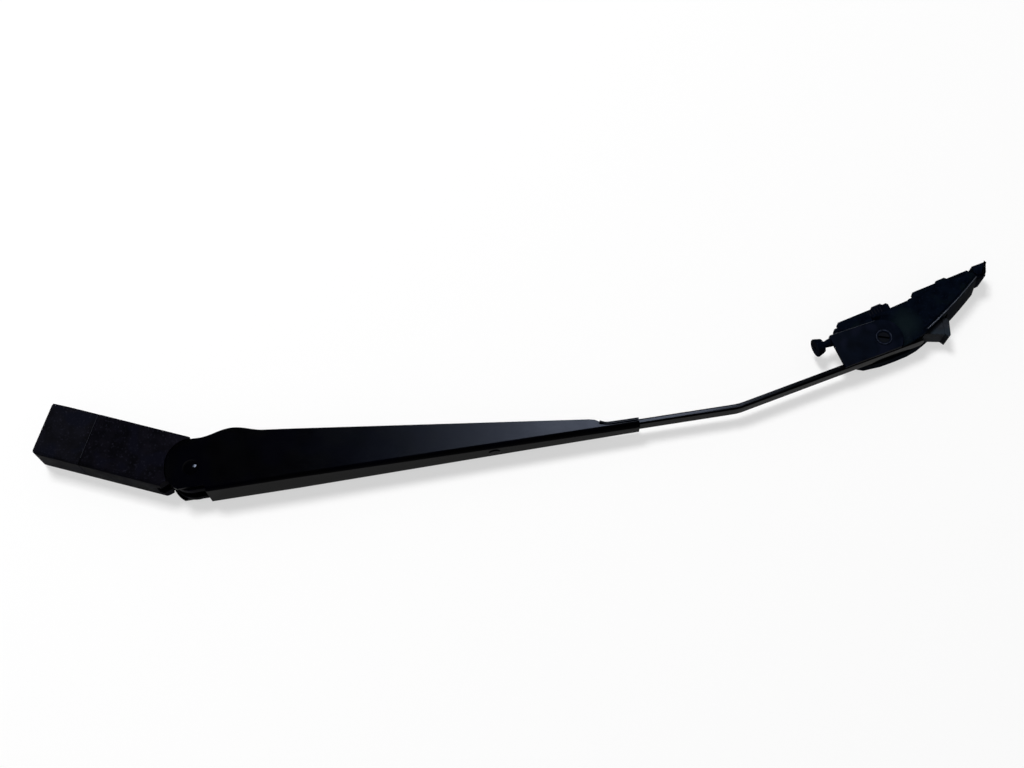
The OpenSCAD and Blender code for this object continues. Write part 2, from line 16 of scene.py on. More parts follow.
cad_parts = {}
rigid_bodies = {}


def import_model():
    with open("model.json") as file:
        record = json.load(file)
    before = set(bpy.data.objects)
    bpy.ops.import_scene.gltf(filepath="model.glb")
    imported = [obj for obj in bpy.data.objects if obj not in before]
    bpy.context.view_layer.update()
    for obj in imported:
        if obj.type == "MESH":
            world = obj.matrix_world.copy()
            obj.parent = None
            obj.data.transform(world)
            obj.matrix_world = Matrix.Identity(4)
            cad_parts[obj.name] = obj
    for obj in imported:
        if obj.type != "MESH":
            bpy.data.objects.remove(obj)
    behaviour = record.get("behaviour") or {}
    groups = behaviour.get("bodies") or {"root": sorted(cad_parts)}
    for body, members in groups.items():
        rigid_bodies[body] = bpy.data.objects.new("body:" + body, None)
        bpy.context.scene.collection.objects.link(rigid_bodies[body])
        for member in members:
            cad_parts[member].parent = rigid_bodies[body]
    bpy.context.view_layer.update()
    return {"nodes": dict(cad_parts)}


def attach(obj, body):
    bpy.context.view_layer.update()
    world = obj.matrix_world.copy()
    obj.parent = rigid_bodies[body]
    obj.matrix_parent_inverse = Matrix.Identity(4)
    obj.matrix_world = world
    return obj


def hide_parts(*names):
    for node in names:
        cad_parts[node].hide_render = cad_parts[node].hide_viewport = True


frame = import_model()
LOG = logging.getLogger("wiper_arm")
MM = 0.001

# The channel's and the rod end's frames, as the part has them at rest
HINGE = Vector((0.065, 0, 0.015))
DROP = math.radians(24)
ROD_BEND = math.radians(12)
ROD_BEND_X = 275
WEB_Z = 11.7

# Clean-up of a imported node's copy: points this close are one, shorter edges go, flatter folds go
MERGE_MM = 0.004
SLIVER_MM = 0.002
FLAT_DEG = 0.6
# Points of a grown piece this close are one
GROWN_MERGE_MM = 0.001

# Part of a noise's climb over which one colour or roughness gives way to the next
TINT_SPAN = (0.35, 0.65)
ACCENT_SPAN = (0.5, 0.62)
FLECK_SPAN = (0.62, 0.72)
SHEEN_SPAN = (0.3, 0.7)
# Accents lie in patches that are larger than the tint's by one over this
ACCENT_SCALE = 0.62
# A painted sheen spot has its full colour out to this share of its radius
PAINTED_SHEEN_CORE = 0.3


class Body(Enum):
    """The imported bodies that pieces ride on."""

    BASE = "base"
    CAP = "cap"
    ARM = "arm"
    LINK = "link"
    CONNECTOR = "connector"
    LEVER = "lever"


def linear(hex_colour: str) -> tuple[float, float, float, float]:
    """Turns an sRGB hex colour into linear RGBA.

    Args:
        hex_colour: Six hex digits, with or without a leading hash.

    Returns:
        Linear red, green, blue and an alpha of 1.
    """
    digits = hex_colour.lstrip("#")
    parts = [int(digits[i : i + 2], 16) / 255 for i in (0, 2, 4)]
    values = [c / 12.92 if c <= 0.04045 else ((c + 0.055) / 1.055) ** 2.4 for c in parts]
    return (values[0], values[1], values[2], 1.0)


def in_channel(x: float, y: float, z: float) -> Vector:
    """Turns a place in the channel's frame into the part's.

    Args:
        x: Millimetres along the channel from the hinge pin.
        y: Millimetres to the near side.
        z: Millimetres outwards from the hinge pin.

    Returns:
        The place in metres.
    """
    return Matrix.Rotation(DROP, 3, "Y") @ Vector((x, y, z)) * MM + HINGE


def in_rod(s: float, y: float, h: float) -> Vector:
    """Turns a place in the rod end's frame into the part's.

    Args:
        s: Millimetres along the rod's outer face from its bend.
        y: Millimetres to the near side.
        h: Millimetres outwards from that face.

    Returns:
        The place in metres.
    """
    turned = Matrix.Rotation(ROD_BEND, 3, "Y") @ Vector((s, y, h))
    return in_channel(ROD_BEND_X + turned.x, turned.y, WEB_Z + turned.z)


def add_node(tree: bpy.types.NodeTree, kind: str, links: dict[str | int, object] | None = None,
             **settings: object) -> bpy.types.Node:
    """Adds one node with its settings, socket values and incoming links.

    Args:
        tree: The node tree.
        kind: The node's bl_idname.
        links: Input name or index to an output socket, or to a plain value.
        settings: Attributes of the node itself.

    Returns:
        The new node.
    """
    node = tree.nodes.new(kind)
    for name, value in settings.items():
        setattr(node, name, value)
    for name, value in (links or {}).items():
        socket = node.inputs[name]
        if isinstance(value, bpy.types.NodeSocket):
            tree.links.new(value, socket)
        else:
            socket.default_value = value
    return node


def seen_directly(tree: bpy.types.NodeTree) -> bpy.types.NodeSocket:
    """Adds nodes that tell the rays which show a background from those which light with it.

    Args:
        tree: The node tree.

    Returns:
        A socket that is 1 for camera, glossy and transmission rays, else 0.
    """
    path = add_node(tree, "ShaderNodeLightPath").outputs
    either = add_node(tree, "ShaderNodeMath",
        {0: path["Is Glossy Ray"], 1: path["Is Transmission Ray"]}, operation="MAXIMUM")
    shown = add_node(tree, "ShaderNodeMath",
        {0: path["Is Camera Ray"], 1: either.outputs[0]}, operation="MAXIMUM")
    return shown.outputs[0]


@dataclass(frozen=True)
class Finish:
    """A surface finish, made from grain sizes in millimetres.

    Grain finer than a quarter of a millimetre wouldn't show in the render, so it is drawn coarser.
    """

    name: str
    colour: str
    tint: str
    accent: str = ""
    fleck: str = ""
    fleck_mm: float = 0.8
    roughness: float = 0.4
    roughness_spread: float = 0.05
    metallic: float = 0.0
    specular: float = 0.5
    grain_mm: float = 0.4
    grain_depth_mm: float = 0.01
    wave_mm: float = 6.0
    wave_depth_mm: float = 0.0
    patch_mm: float = 18.0
    # A painted sheen: a paler colour laid round one point, standing in for light on the surface
    painted_sheen: str = ""
    painted_sheen_at: tuple[float, ...] = (0.0, 0.0, 0.0)
    painted_sheen_mm: float = 9.0
    slot: str = ""

    def build(self) -> bpy.types.Material:
        """Builds the node material.

        Returns:
            The material, under the finish's name.
        """
        material = bpy.data.materials.new(self.name)
        material.use_nodes = True
        tree = material.node_tree
        tree.nodes.clear()
        place = add_node(tree, "ShaderNodeTexCoord").outputs["Object"]
        layers = {
            "patch": (self.patch_mm, 4.0),
            "accent": (self.patch_mm / ACCENT_SCALE, 1.0),
            "fleck": (self.fleck_mm, 1.0),
            "grain": (self.grain_mm, 2.0),
            "wave": (self.wave_mm, 1.0),
        }
        noise = {}
        for label, (size_mm, detail) in layers.items():
            node = add_node(tree, "ShaderNodeTexNoise",
                {"Vector": place, "Scale": 1 / (size_mm * MM), "Detail": detail})
            noise[label] = node.outputs["Fac"]
        smooth, dull = self.roughness - self.roughness_spread, self.roughness + self.roughness_spread
        rough = add_node(tree, "ShaderNodeMapRange", {"Value": noise["patch"], "From Min": SHEEN_SPAN[0],
            "From Max": SHEEN_SPAN[1], "To Min": smooth, "To Max": dull})
        low = add_node(tree, "ShaderNodeBump",
            {"Height": noise["wave"], "Distance": self.wave_depth_mm * MM})
        fine = add_node(tree, "ShaderNodeBump",
            {"Height": noise["grain"], "Distance": self.grain_depth_mm * MM, "Normal": low.outputs["Normal"]})
        shader = add_node(tree, "ShaderNodeBsdfPrincipled", {"Base Color": self.colouring(tree, place, noise),
            "Roughness": rough.outputs["Result"], "Normal": fine.outputs["Normal"], "Metallic": self.metallic,
            "Specular IOR Level": self.specular})
        add_node(tree, "ShaderNodeOutputMaterial", {"Surface": shader.outputs["BSDF"]})
        return material

    def colouring(self, tree: bpy.types.NodeTree, place: bpy.types.NodeSocket,
                  noise: dict[str, bpy.types.NodeSocket]) -> bpy.types.NodeSocket:
        """Lays the tint, the accent, the flecks and the painted sheen spot over the colour.

        Args:
            tree: The node tree.
            place: The place on the object.
            noise: The noises by layer.

        Returns:
            The colour's socket.
        """
        colour = linear(self.colour)
        for hue, label, span in ((self.tint, "patch", TINT_SPAN), (self.accent, "accent", ACCENT_SPAN),
                                 (self.fleck, "fleck", FLECK_SPAN)):
            if hue:
                colour = self.blend(tree, noise[label], span, colour, linear(hue))
        # Paler round one point: a painted sheen
        if self.painted_sheen:
            away = add_node(tree, "ShaderNodeVectorMath", {0: place, 1: self.painted_sheen_at}, operation="DISTANCE")
            span = (self.painted_sheen_mm * MM, PAINTED_SHEEN_CORE * self.painted_sheen_mm * MM)
            colour = self.blend(tree, away.outputs["Value"], span, colour, linear(self.painted_sheen))
        return colour

    @staticmethod
    def blend(tree: bpy.types.NodeTree, amount: bpy.types.NodeSocket, span: tuple[float, float],
              low: object, high: object) -> bpy.types.NodeSocket:
        """Mixes two colours over a span of a noise or a distance.

        Args:
            tree: The node tree.
            amount: The noise or the distance.
            span: Its values for all of the low and all of the high colour.
            low: Colour or socket at the span's start.
            high: Colour or socket at its end.

        Returns:
            The mixed colour's socket.
        """
        share = add_node(tree, "ShaderNodeMapRange",
            {"Value": amount, "From Min": span[0], "From Max": span[1]})
        mix = add_node(tree, "ShaderNodeMix",
            {"Factor": share.outputs["Result"], 6: low, 7: high}, data_type="RGBA")
        return mix.outputs[2]


# Die-cast alloy under black powder coat: dull, lumpy, violet-black with paler flecks
POWDER_COAT = Finish(
    "powder_coated_casting", "#060609", "#0d0c12", accent="#0a0a12", fleck="#17171f", fleck_mm=0.9,
    roughness=0.40, roughness_spread=0.08, specular=0.002, grain_mm=0.9, grain_depth_mm=0.02,
    wave_mm=5.0, wave_depth_mm=0.05, patch_mm=6, slot="cast")
# Moulded hood: the casting's neighbour, a shade smoother and paler
HOOD_NYLON = Finish(
    "hood_nylon", "#0a0a0d", "#101016", accent="#0c0d15", fleck="#1a1a22", fleck_mm=0.8,
    roughness=0.38, roughness_spread=0.06, specular=0.002, grain_mm=0.5, grain_depth_mm=0.012,
    wave_mm=6.0, wave_depth_mm=0.03, patch_mm=7, slot="plastic")
# Pressed steel under black electrocoat: smooth and satin, so that it mirrors a window softly
ELECTROCOAT = Finish(
    "black_electrocoat_steel", "#010102", "#020203", accent="#010104",
    roughness=0.21, roughness_spread=0.03, specular=0.01, grain_mm=0.5, grain_depth_mm=0.004,
    wave_mm=12.0, wave_depth_mm=0.02, patch_mm=12, slot="paint")
# The same coat on the drawn bar: smoother steel under it, so the rod's edge mirrors more crisply
COATED_BAR = Finish(
    "black_electrocoat_bar", "#010102", "#020203",
    roughness=0.15, roughness_spread=0.02, specular=0.01, grain_mm=0.5, grain_depth_mm=0.003,
    wave_mm=12.0, wave_depth_mm=0.02, patch_mm=12, slot="paint")
# The same coat on the thick side plate: a matt navy that mirrors next to nothing
COATED_PLATE = Finish(
    "matt_coated_plate", "#010309", "#030712", accent="#070a16",
    roughness=0.34, roughness_spread=0.05, specular=0.003, grain_mm=0.5, grain_depth_mm=0.008,
    wave_mm=6.0, wave_depth_mm=0.02, patch_mm=6, slot="paint")
# The same coat drawn thin over a small dome: glossy, so that it glints
COATED_DOME = Finish(
    "glossy_coated_rivet", "#010102", "#020204", roughness=0.06, roughness_spread=0.01, specular=0.03,
    grain_mm=1.4, grain_depth_mm=0.012, patch_mm=3, slot="paint")
# Cut edge of coated sheet, painted paler as a highlight line
EDGE_PAINTED_HIGHLIGHT = Finish(
    "edge_painted_highlight", "#0d0f13", "#171a20", roughness=0.3, roughness_spread=0.05, specular=0.1,
    grain_mm=0.4, grain_depth_mm=0.006, patch_mm=5, slot="paint")
# Glass-filled nylon from a spark-eroded mould: matt navy-black in uneven patches
GLASS_NYLON = Finish(
    "glass_filled_nylon", "#02040a", "#050a14", accent="#060c10", fleck="#0c1220", fleck_mm=0.9,
    roughness=0.36, roughness_spread=0.06, specular=0.0006, grain_mm=0.35, grain_depth_mm=0.012,
    wave_mm=9.0, wave_depth_mm=0.02, patch_mm=6, slot="plastic")
# The same nylon on the body, with a painted sheen spot on the cove beside the pivot plate
BODY_NYLON = replace(
    GLASS_NYLON, name="glass_filled_nylon_body", painted_sheen="#0c1418", painted_sheen_at=tuple(in_rod(99.3, 6.2, -11.1)),
    painted_sheen_mm=10.0)
# Moulded edge, painted pale grey as a highlight and a little shiny
NYLON_PAINTED_HIGHLIGHT = Finish(
    "nylon_painted_highlight", "#2a2d33", "#41454d", roughness=0.22, roughness_spread=0.05, specular=0.2,
    grain_mm=0.4, grain_depth_mm=0.006, patch_mm=5, slot="plastic")
# Acetal of the release lever: waxier than the nylon, and painted greyer than its black as a sheen
LEVER_ACETAL_PAINTED_SHEEN = Finish(
    "lever_acetal_painted_sheen", "#1c1e22", "#26292f", accent="#20262d", roughness=0.40, roughness_spread=0.05,
    specular=0.002, grain_mm=0.5, grain_depth_mm=0.01, patch_mm=4, slot="plastic")
# Acetal for bearings: mid-grey, waxy
ACETAL = Finish(
    "grey_acetal", "#4b4b4c", "#565657", roughness=0.42, roughness_spread=0.04, slot="bush")
# Zinc-plated spring steel: dull silver with darker patches
ZINC_STEEL = Finish(
    "zinc_plated_steel", "#8b8d90", "#6f7072", roughness=0.36, roughness_spread=0.08, metallic=1.0,
    grain_mm=0.25, grain_depth_mm=0.006, patch_mm=6, slot="steel")
# Blackened steel: dark oxide that hardly shines
BLACK_OXIDE = Finish(
    "black_oxide_steel", "#020305", "#07080c", roughness=0.4, roughness_spread=0.06, specular=0.006,
    patch_mm=3, slot="pin")
# Flash on the hood's rim, painted paler as a highlight line
FLASH_PAINTED_HIGHLIGHT = Finish(
    "hood_flash_painted_highlight", "#141419", "#24242b", roughness=0.35, roughness_spread=0.05, specular=0.03,
    grain_mm=0.4, grain_depth_mm=0.006, patch_mm=4, slot="plastic")
# Blue-grey painted highlight laid on the crown of a raised ring
RING_PAINTED_HIGHLIGHT = Finish(
    "ring_painted_highlight", "#0b0e16", "#272d3b", roughness=0.34, roughness_spread=0.08, specular=0.01,
    patch_mm=1.6, slot="paint")


class FinishBook:
    """Makes each finish once and hands it out."""

    def __init__(self) -> None:
        """Starts with no material made."""
        self._made: dict[str, bpy.types.Material] = {}

    def get(self, finish: Finish) -> bpy.types.Material:
        """Returns the finish's material, building it on first use.

        Args:
            finish: The finish.

        Returns:
            Its material.
        """
        if finish.name not in self._made:
            self._made[finish.name] = finish.build()
        return self._made[finish.name]


BOOK = FinishBook()


def linked(name: str, mesh: bpy.types.Mesh) -> bpy.types.Object:
    """Makes an object of a mesh and puts it in the scene.

    Args:
        name: The object's name.
        mesh: Its mesh.

    Returns:
        The object.
    """
    piece = bpy.data.objects.new(name, mesh)
    bpy.context.scene.collection.objects.link(piece)
    return piece


def frozen(piece: bpy.types.Object) -> bpy.types.Object:
    """Turns a piece's modifiers into plain mesh.

    Args:
        piece: The object with live modifiers.

    Returns:
        The same object, with none.
    """
    graph = bpy.context.evaluated_depsgraph_get()
    result = bpy.data.meshes.new_from_object(piece.evaluated_get(graph), depsgraph=graph)
    piece.modifiers.clear()
    old = piece.data
    piece.data = result
    bpy.data.meshes.remove(old)
    return piece


def softened_copy(node: str, name: str, width_mm: float, segments: int = 3, angle_deg: float = 28.0,
                  share: Callable[[Vector], float] | None = None) -> bpy.types.Object:
    """Copies a node's mesh and rounds its edges.

    Args:
        node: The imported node.
        name: The new piece's name.
        width_mm: Width of the rounding.
        segments: Steps in the rounding.
        angle_deg: Edges sharper than this are rounded.
        share: Share of the width at a place in millimetres, where it isn't the same all over.

    Returns:
        The new object, with its place in its mesh.
    """
    mesh = frame["nodes"][node].data.copy()
    mesh.name = name
    work = bmesh.new()
    work.from_mesh(mesh)
    bmesh.ops.remove_doubles(work, verts=work.verts, dist=MERGE_MM * MM)
    bmesh.ops.dissolve_degenerate(work, edges=work.edges, dist=SLIVER_MM * MM)
    bmesh.ops.dissolve_limit(work, angle_limit=math.radians(FLAT_DEG), verts=work.verts, edges=work.edges)
    for face in work.faces:
        face.smooth = True
    if share:
        weight = work.edges.layers.float.new("bevel_weight_edge")
        for edge in work.edges:
            if edge.is_manifold and edge.calc_face_angle(0) > math.radians(angle_deg):
                edge[weight] = share((edge.verts[0].co + edge.verts[1].co) / 2 / MM)
    work.to_mesh(mesh)
    work.free()
    piece = linked(name, mesh)
    bevel = piece.modifiers.new("round", "BEVEL")
    bevel.width = width_mm * MM
    bevel.segments = segments
    bevel.limit_method = "WEIGHT" if share else "ANGLE"
    bevel.angle_limit = math.radians(angle_deg)
    bevel.use_clamp_overlap = share is None
    bevel.miter_outer = "MITER_ARC"
    even = piece.modifiers.new("even", "WEIGHTED_NORMAL")
    even.keep_sharp = True
    even.weight = 60
    return frozen(piece)


def node_group(name: str, inputs: Sequence[tuple[str, str]]
               ) -> tuple[bpy.types.NodeTree, bpy.types.Node, dict[str, str]]:
    """Starts a Geometry Nodes group with named inputs.

    Args:
        name: The group's name.
        inputs: Name and socket type of each input after the geometry.

    Returns:
        The group, its input node and each input's identifier.
    """
    tree = bpy.data.node_groups.new(name, "GeometryNodeTree")
    tree.interface.new_socket("Geometry", in_out="INPUT", socket_type="NodeSocketGeometry")
    ids = {}
    for label, kind in inputs:
        ids[label] = tree.interface.new_socket(label, in_out="INPUT", socket_type=kind).identifier
    tree.interface.new_socket("Geometry", in_out="OUTPUT", socket_type="NodeSocketGeometry")
    return tree, tree.nodes.new("NodeGroupInput"), ids


def grown(name: str, mesh: bpy.types.Mesh, tree: bpy.types.NodeTree,
          values: dict[str, object]) -> bpy.types.Object:
    """Runs a Geometry Nodes group on a mesh and keeps the result as plain mesh.

    Args:
        name: The new piece's name.
        mesh: What the group starts from.
        tree: The group.
        values: Its inputs by identifier.

    Returns:
        The new object, closed and with its faces outwards.
    """
    piece = linked(name, mesh)
    modifier = piece.modifiers.new("grow", "NODES")
    modifier.node_group = tree
    for key, value in values.items():
        modifier[key] = value
    frozen(piece)
    work = bmesh.new()
    work.from_mesh(piece.data)
    bmesh.ops.remove_doubles(work, verts=work.verts, dist=GROWN_MERGE_MM * MM)
    bmesh.ops.recalc_face_normals(work, faces=work.faces)
    work.to_mesh(piece.data)
    work.free()
    return piece


class Bead:
    """Geometry Nodes group that sweeps a round bead along a path."""

    SIDES = 12

    def __init__(self) -> None:
        """Builds the group once."""
        self.tree, start, self.ids = node_group("bead",
            (("Radius", "NodeSocketFloat"), ("Sides", "NodeSocketInt"), ("Material", "NodeSocketMaterial")))
        curve = add_node(self.tree, "GeometryNodeMeshToCurve", {"Mesh": start.outputs["Geometry"]})
        ring = add_node(self.tree, "GeometryNodeCurvePrimitiveCircle",
            {"Resolution": start.outputs["Sides"], "Radius": start.outputs["Radius"]})
        body = add_node(self.tree, "GeometryNodeCurveToMesh",
            {"Curve": curve.outputs[0], "Profile Curve": ring.outputs[0], "Fill Caps": True})
        smooth = add_node(self.tree, "GeometryNodeSetShadeSmooth",
            {"Geometry": body.outputs[0], "Shade Smooth": True})
        done = add_node(self.tree, "GeometryNodeSetMaterial",
            {"Geometry": smooth.outputs[0], "Material": start.outputs["Material"]})
        add_node(self.tree, "NodeGroupOutput", {"Geometry": done.outputs[0]})

    def lay(self, name: str, path: Sequence[Vector], radius_mm: float, finish: Finish,
            closed: bool = False) -> bpy.types.Object:
        """Lays one bead.

        Args:
            name: The new piece's name.
            path: Its centre line, in metres.
            radius_mm: Its radius.
            finish: Its finish.
            closed: Whether it runs back to its start.

        Returns:
            The new object.
        """
        count = len(path)
        edges = [(i, (i + 1) % count) for i in range(count if closed else count - 1)]
        mesh = bpy.data.meshes.new(name)
        mesh.from_pydata(list(path), edges, [])
        return grown(name, mesh, self.tree, {self.ids["Radius"]: radius_mm * MM,
            self.ids["Sides"]: self.SIDES, self.ids["Material"]: BOOK.get(finish)})


class RibRow:
    """Geometry Nodes group that repeats a small rib on each point of a line."""

    ROUND_SHARE = 0.3
    ROUND_STEPS = 2

    def __init__(self) -> None:
        """Builds the group once."""
        self.tree, start, self.ids = node_group("rib_row",
            (("Size", "NodeSocketVector"), ("Turn", "NodeSocketRotation"), ("Material", "NodeSocketMaterial")))
        rib = add_node(self.tree, "GeometryNodeMeshCube", {"Size": start.outputs["Size"]})
        row = add_node(self.tree, "GeometryNodeInstanceOnPoints", {"Points": start.outputs["Geometry"],
            "Instance": rib.outputs["Mesh"], "Rotation": start.outputs["Turn"]})
        real = add_node(self.tree, "GeometryNodeRealizeInstances", {"Geometry": row.outputs[0]})
        done = add_node(self.tree, "GeometryNodeSetMaterial",
            {"Geometry": real.outputs[0], "Material": start.outputs["Material"]})
        add_node(self.tree, "NodeGroupOutput", {"Geometry": done.outputs[0]})

    def lay(self, name: str, points: Sequence[Vector], size_mm: tuple[float, float, float], turn: float,
            finish: Finish) -> bpy.types.Object:
        """Lays one row, with the ribs' edges rounded.

        Args:
            name: The new piece's name.
            points: Centre of each rib, in metres.
            size_mm: Each rib's length, height across Y and depth.
            turn: Turn about Y in radians.
            finish: Its finish.

        Returns:
            The new object.
        """
        mesh = bpy.data.meshes.new(name)
        mesh.from_pydata(list(points), [], [])
        piece = grown(name, mesh, self.tree, {self.ids["Size"]: [v * MM for v in size_mm],
            self.ids["Turn"]: (0.0, turn, 0.0), self.ids["Material"]: BOOK.get(finish)})
        bevel = piece.modifiers.new("round", "BEVEL")
        bevel.width = min(size_mm) * self.ROUND_SHARE * MM
        bevel.segments = self.ROUND_STEPS
        return frozen(piece)


BEAD = Bead()
RIBS = RibRow()


def dress(piece: bpy.types.Object, finish: Finish, body: Body, nodes: Sequence[str] = ()) -> None:
    """Gives a piece its finish and its body, and hides the nodes that it stands for.

    Args:
        piece: The new piece.
        finish: Its finish.
        body: The body it rides on.
        nodes: The nodes that it replaces.
    """
    piece.data.materials.clear()
    piece.data.materials.append(BOOK.get(finish))
    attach(piece, body.value)
    if nodes:
        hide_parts(*nodes)
    LOG.info("%s rides on %s", piece.name, body.value)


def repaint(node: str, finish: Finish) -> None:
    """Gives a kept node a better material.

    Args:
        node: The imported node.
        finish: Its finish.
    """
    slots = frame["nodes"][node].data.materials
    slots.clear()
    slots.append(BOOK.get(finish))
    LOG.info("%s keeps its solid", node)


@dataclass
class Camera:
    """The photograph's viewpoint, above the table and turned against the head's axis."""

    elevation_deg: float = 67.0
    roll_deg: float = 14.6
    location_mm: tuple[float, float, float] = (271.1, 612.8, 180.05)
    lens_mm: float = 45.7
    sensor_mm: float = 36.0
    reach_m: float = 20.0

    def axes(self) -> tuple[Vector, Vector, Vector]:
        """Works out the picture's directions.

        Returns:
            Right, up and backward.
        """
        tilt, turn = math.radians(self.elevation_deg), math.radians(self.roll_deg)
        right = Vector((math.cos(turn), 0, -math.sin(turn)))
        up = Vector((-math.sin(turn) * math.sin(tilt), math.cos(tilt), -math.cos(turn) * math.sin(tilt)))
        return right, up, right.cross(up)

    def build(self) -> None:
        """Makes the camera the scene's own."""
        data = bpy.data.cameras.new("camera")
        data.lens = self.lens_mm
        data.sensor_width = self.sensor_mm
        data.clip_end = self.reach_m
        camera = bpy.data.objects.new("camera", data)
        bpy.context.scene.collection.objects.link(camera)
        right, up, back = self.axes()
        turn = Matrix((right, up, back)).transposed().to_4x4()
        camera.matrix_world = Matrix.Translation(Vector(self.location_mm) * MM) @ turn
        bpy.context.scene.camera = camera


@dataclass
class Table:
    """White table top that the arm lies on, seen only from above."""

    height_mm: float = -10.9
    centre_x: float = 0.2
    centre_z: float = -0.07
    half_m: float = 4.0
    colour: str = "#a9a9a9"
    glow: float = 0.585

    def build(self) -> None:
        """Makes the table as stage."""
        work = bmesh.new()
        corners = [(x, 0, z) for x, z in ((-1, -1), (-1, 1), (1, 1), (1, -1))]
        work.faces.new([work.verts.new(Vector(c) * self.half_m) for c in corners])
        mesh = bpy.data.meshes.new("table")
        work.to_mesh(mesh)
        work.free()
        table = linked("table", mesh)
        table.location = (self.centre_x, self.height_mm * MM, self.centre_z)
        table.data.materials.append(self.paint())

    def paint(self) -> bpy.types.Material:
        """Builds a matt white that keeps shadows and lets views and light from beneath pass.

        Returns:
            The table's material.
        """
        material = bpy.data.materials.new("table_white")
        material.use_nodes = True
        tree = material.node_tree
        tree.nodes.clear()
        glow = add_node(tree, "ShaderNodeMath", {0: seen_directly(tree), 1: self.glow}, operation="MULTIPLY")
        lit = add_node(tree, "ShaderNodeEmission", {"Strength": glow.outputs[0]})
        skin = add_node(tree, "ShaderNodeBsdfDiffuse", {"Color": linear(self.colour)})
        matt = add_node(tree, "ShaderNodeAddShader", {0: skin.outputs[0], 1: lit.outputs[0]})
        clear = add_node(tree, "ShaderNodeBsdfTransparent")
        behind = add_node(tree, "ShaderNodeNewGeometry").outputs["Backfacing"]
        shadow_ray = add_node(tree, "ShaderNodeLightPath").outputs["Is Shadow Ray"]
        open_to = add_node(tree, "ShaderNodeMath", {0: behind, 1: shadow_ray}, operation="MAXIMUM")
        mix = add_node(tree, "ShaderNodeMixShader",
            {0: open_to.outputs[0], 1: matt.outputs[0], 2: clear.outputs[0]})
        add_node(tree, "ShaderNodeOutputMaterial", {"Surface": mix.outputs[0]})
        return material


@dataclass
class Lamp:
    """One soft studio lamp, in metres from the arm's middle along the picture's own directions."""

    name: str
    right: float
    away: float
    above: float
    width: float
    height: float
    watts: float
    colour: str = "#ffffff"
    mirrored: bool = True
    lighting: bool = True


@dataclass
class Studio:
    """The lamps and the white surround."""

    centre: tuple[float, float, float] = (0.2045, -0.0095, -0.0755)
    lamps: list[Lamp] = field(default_factory=lambda: [
        Lamp("key", right=-0.93, away=0.93, above=3.0, width=0.85, height=0.85, watts=98.0, mirrored=False),
        Lamp("window", right=0.22, away=0.56, above=1.25, width=0.20, height=0.45, watts=46.0,
             colour="#d4e1ff", lighting=False),
        Lamp("window_edge", right=0.06, away=0.56, above=1.25, width=0.12, height=0.45, watts=10.0,
             colour="#cfdfff", lighting=False),
        Lamp("window_dusk", right=-0.06, away=0.56, above=1.25, width=0.12, height=0.45, watts=2.2,
             colour="#b4ccff", lighting=False),
        Lamp("back_left", right=-0.8, away=0.8, above=-1.8, width=1.2, height=1.2, watts=14.0),
        Lamp("back_right", right=0.9, away=-0.6, above=-1.8, width=1.2, height=1.2, watts=14.0),
    ])
    fill: float = 0.24
    horizon: float = 1.0
    zenith: float = 0.06
    climb: tuple[float, float] = (0.2, 0.6)
    backdrop: str = "#fdfdfd"

    def build(self, camera: Camera) -> None:
        """Hangs the lamps and sets the world.

        Args:
            camera: Gives the picture's directions.
        """
        right, _, _ = camera.axes()
        above = Vector((0, 1, 0))
        away = above.cross(right)
        middle = Vector(self.centre)
        for lamp in self.lamps:
            data = bpy.data.lights.new(lamp.name, "AREA")
            data.shape = "RECTANGLE"
            data.size, data.size_y = lamp.width, lamp.height
            data.energy = lamp.watts
            data.color = linear(lamp.colour)[:3]
            place = bpy.data.objects.new(lamp.name, data)
            place.location = middle + right * lamp.right + away * lamp.away + above * lamp.above
            place.rotation_euler = (place.location - middle).to_track_quat("Z", "Y").to_euler()
            place.visible_glossy = lamp.mirrored
            place.visible_diffuse = lamp.lighting
            bpy.context.scene.collection.objects.link(place)
        self.surround()

    def surround(self) -> None:
        """Makes the world: white to the camera, a wall that darkens upwards in gloss, dim grey as light."""
        world = bpy.data.worlds.new("studio")
        bpy.context.scene.world = world
        world.use_nodes = True
        tree = world.node_tree
        tree.nodes.clear()
        # The world isn't sampled as a lamp, because that light would ignore the kinds of ray told apart below
        world.cycles.sampling_method = "NONE"
        camera_ray = add_node(tree, "ShaderNodeLightPath").outputs["Is Camera Ray"]
        where = add_node(tree, "ShaderNodeTexCoord").outputs["Generated"]
        parts = add_node(tree, "ShaderNodeSeparateXYZ", {"Vector": where})
        steep = add_node(tree, "ShaderNodeMath", {0: parts.outputs["Y"]}, operation="ABSOLUTE")
        wall = add_node(tree, "ShaderNodeMapRange",
            {"Value": steep.outputs[0], "From Min": self.climb[0], "From Max": self.climb[1],
             "To Min": self.horizon, "To Max": self.zenith}, interpolation_type="SMOOTHSTEP")
        mirror = add_node(tree, "ShaderNodeBackground", {"Strength": wall.outputs["Result"]})
        dim = add_node(tree, "ShaderNodeBackground", {"Strength": self.fill})
        white = add_node(tree, "ShaderNodeBackground", {"Color": linear(self.backdrop), "Strength": 1.0})
        rest = add_node(tree, "ShaderNodeMixShader",
            {0: seen_directly(tree), 1: dim.outputs[0], 2: mirror.outputs[0]})
        mix = add_node(tree, "ShaderNodeMixShader", {0: camera_ray, 1: rest.outputs[0], 2: white.outputs[0]})
        add_node(tree, "ShaderNodeOutputWorld", {"Surface": mix.outputs[0]})


